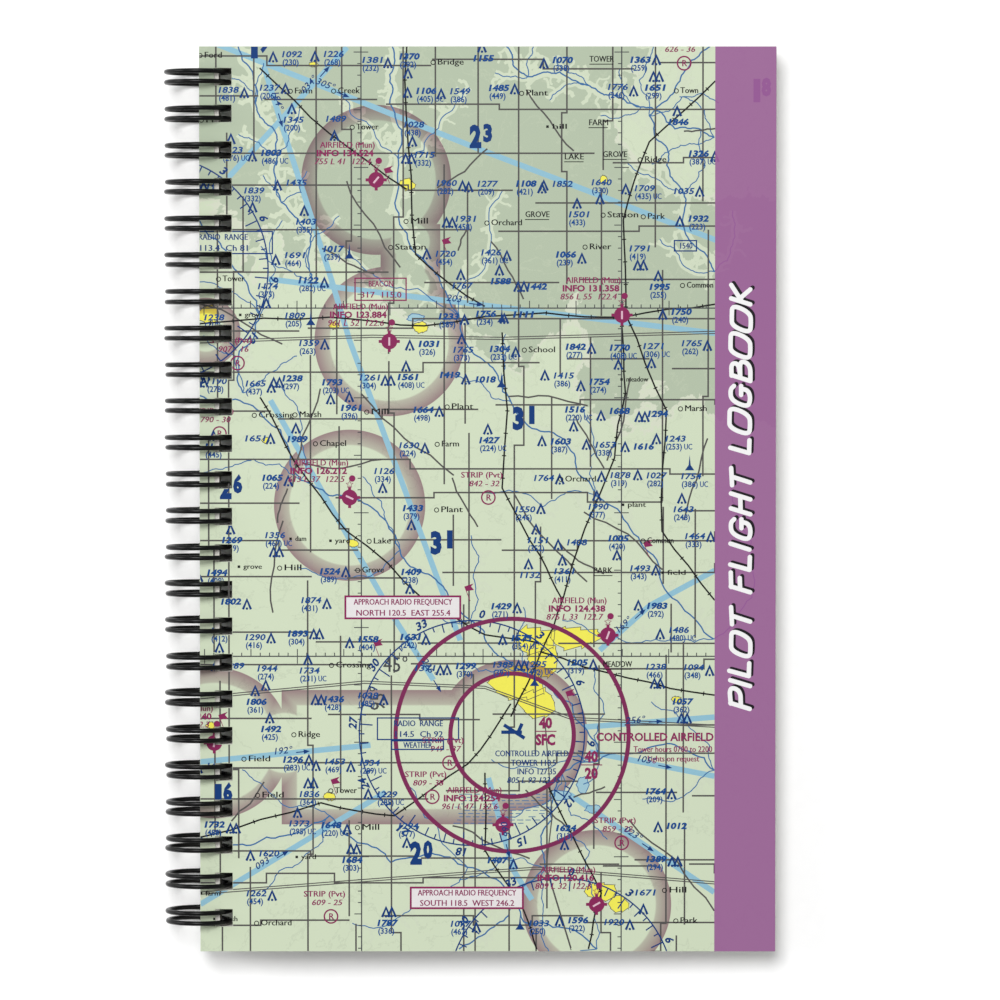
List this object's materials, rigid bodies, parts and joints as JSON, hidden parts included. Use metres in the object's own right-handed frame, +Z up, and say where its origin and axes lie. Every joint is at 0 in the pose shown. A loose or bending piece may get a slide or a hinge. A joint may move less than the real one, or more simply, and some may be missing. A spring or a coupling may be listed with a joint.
{
  "type": "pilot logbook",
  "caption": "Wire-bound pilot logbook with a matte chart-patterned cover, a dark title band along the fore-edge, punched log sheets and a black twin-loop wire spine.",
  "frame": {"origin": "on the table, under the middle of the closed book", "axes": "+X from the wire to the fore-edge, +Y from tail to head, +Z up from the table; the book lies on its back cover"},
  "size_m": [0.1418, 0.2096, 0.0158],
  "materials": {
    "front_board": "matte printed laminate",
    "back_board": "matte laminate",
    "paper": "uncoated",
    "black_wire": "satin black coating"
  },
  "bodies": {
    "back_cover": {"back_cover": "back_board"},
    "back_flyleaf": {"back_flyleaf": "paper"},
    "log_sheets_17": {"log_sheets_17": "paper"},
    "log_sheets_16": {"log_sheets_16": "paper"},
    "log_sheets_15": {"log_sheets_15": "paper"},
    "log_sheets_14": {"log_sheets_14": "paper"},
    "log_sheets_13": {"log_sheets_13": "paper"},
    "log_sheets_12": {"log_sheets_12": "paper"},
    "log_sheets_11": {"log_sheets_11": "paper"},
    "log_sheets_10": {"log_sheets_10": "paper"},
    "log_sheets_09": {"log_sheets_09": "paper"},
    "log_sheets_08": {"log_sheets_08": "paper"},
    "log_sheets_07": {"log_sheets_07": "paper"},
    "log_sheets_06": {"log_sheets_06": "paper"},
    "log_sheets_05": {"log_sheets_05": "paper"},
    "log_sheets_04": {"log_sheets_04": "paper"},
    "log_sheets_03": {"log_sheets_03": "paper"},
    "log_sheets_02": {"log_sheets_02": "paper"},
    "log_sheets_01": {"log_sheets_01": "paper"},
    "front_flyleaf": {"front_flyleaf": "paper"},
    "front_cover": {"front_cover": "front_board"},
    "twin_loop_wire": {"twin_loop_wire": "black_wire"}
  },
  "joints": [
    {"name": "wire_roll", "type": "hinge", "parent": "back_cover", "child": "twin_loop_wire", "pos_m": [-0.06299, 0, 0.00795], "axis": [0, 1, 0], "range_deg": [-25, 25]},
    {"name": "back_flyleaf_turn", "type": "hinge", "parent": "back_cover", "child": "back_flyleaf", "pos_m": [-0.06299, 0, 0.00795], "axis": [0, 1, 0], "range_deg": [-180, 0]},
    {"name": "log_sheets_17_turn", "type": "hinge", "parent": "back_flyleaf", "child": "log_sheets_17", "pos_m": [-0.06299, 0, 0.00795], "axis": [0, 1, 0], "range_deg": [-180, 0]},
    {"name": "log_sheets_16_turn", "type": "hinge", "parent": "log_sheets_17", "child": "log_sheets_16", "pos_m": [-0.06299, 0, 0.00795], "axis": [0, 1, 0], "range_deg": [-180, 0]},
    {"name": "log_sheets_15_turn", "type": "hinge", "parent": "log_sheets_16", "child": "log_sheets_15", "pos_m": [-0.06299, 0, 0.00795], "axis": [0, 1, 0], "range_deg": [-180, 0]},
    {"name": "log_sheets_14_turn", "type": "hinge", "parent": "log_sheets_15", "child": "log_sheets_14", "pos_m": [-0.06299, 0, 0.00795], "axis": [0, 1, 0], "range_deg": [-180, 0]},
    {"name": "log_sheets_13_turn", "type": "hinge", "parent": "log_sheets_14", "child": "log_sheets_13", "pos_m": [-0.06299, 0, 0.00795], "axis": [0, 1, 0], "range_deg": [-180, 0]},
    {"name": "log_sheets_12_turn", "type": "hinge", "parent": "log_sheets_13", "child": "log_sheets_12", "pos_m": [-0.06299, 0, 0.00795], "axis": [0, 1, 0], "range_deg": [-180, 0]},
    {"name": "log_sheets_11_turn", "type": "hinge", "parent": "log_sheets_12", "child": "log_sheets_11", "pos_m": [-0.06299, 0, 0.00795], "axis": [0, 1, 0], "range_deg": [-180, 0]},
    {"name": "log_sheets_10_turn", "type": "hinge", "parent": "log_sheets_11", "child": "log_sheets_10", "pos_m": [-0.06299, 0, 0.00795], "axis": [0, 1, 0], "range_deg": [-180, 0]},
    {"name": "log_sheets_09_turn", "type": "hinge", "parent": "log_sheets_10", "child": "log_sheets_09", "pos_m": [-0.06299, 0, 0.00795], "axis": [0, 1, 0], "range_deg": [-180, 0]},
    {"name": "log_sheets_08_turn", "type": "hinge", "parent": "log_sheets_09", "child": "log_sheets_08", "pos_m": [-0.06299, 0, 0.00795], "axis": [0, 1, 0], "range_deg": [-180, 0]},
    {"name": "log_sheets_07_turn", "type": "hinge", "parent": "log_sheets_08", "child": "log_sheets_07", "pos_m": [-0.06299, 0, 0.00795], "axis": [0, 1, 0], "range_deg": [-180, 0]},
    {"name": "log_sheets_06_turn", "type": "hinge", "parent": "log_sheets_07", "child": "log_sheets_06", "pos_m": [-0.06299, 0, 0.00795], "axis": [0, 1, 0], "range_deg": [-180, 0]},
    {"name": "log_sheets_05_turn", "type": "hinge", "parent": "log_sheets_06", "child": "log_sheets_05", "pos_m": [-0.06299, 0, 0.00795], "axis": [0, 1, 0], "range_deg": [-180, 0]},
    {"name": "log_sheets_04_turn", "type": "hinge", "parent": "log_sheets_05", "child": "log_sheets_04", "pos_m": [-0.06299, 0, 0.00795], "axis": [0, 1, 0], "range_deg": [-180, 0]},
    {"name": "log_sheets_03_turn", "type": "hinge", "parent": "log_sheets_04", "child": "log_sheets_03", "pos_m": [-0.06299, 0, 0.00795], "axis": [0, 1, 0], "range_deg": [-180, 0]},
    {"name": "log_sheets_02_turn", "type": "hinge", "parent": "log_sheets_03", "child": "log_sheets_02", "pos_m": [-0.06299, 0, 0.00795], "axis": [0, 1, 0], "range_deg": [-180, 0]},
    {"name": "log_sheets_01_turn", "type": "hinge", "parent": "log_sheets_02", "child": "log_sheets_01", "pos_m": [-0.06299, 0, 0.00795], "axis": [0, 1, 0], "range_deg": [-180, 0]},
    {"name": "front_flyleaf_turn", "type": "hinge", "parent": "log_sheets_01", "child": "front_flyleaf", "pos_m": [-0.06299, 0, 0.00795], "axis": [0, 1, 0], "range_deg": [-180, 0]},
    {"name": "front_cover_open", "type": "hinge", "parent": "front_flyleaf", "child": "front_cover", "pos_m": [-0.06299, 0, 0.00795], "axis": [0, -1, 0], "range_deg": [0, 182.7]}
  ]
}
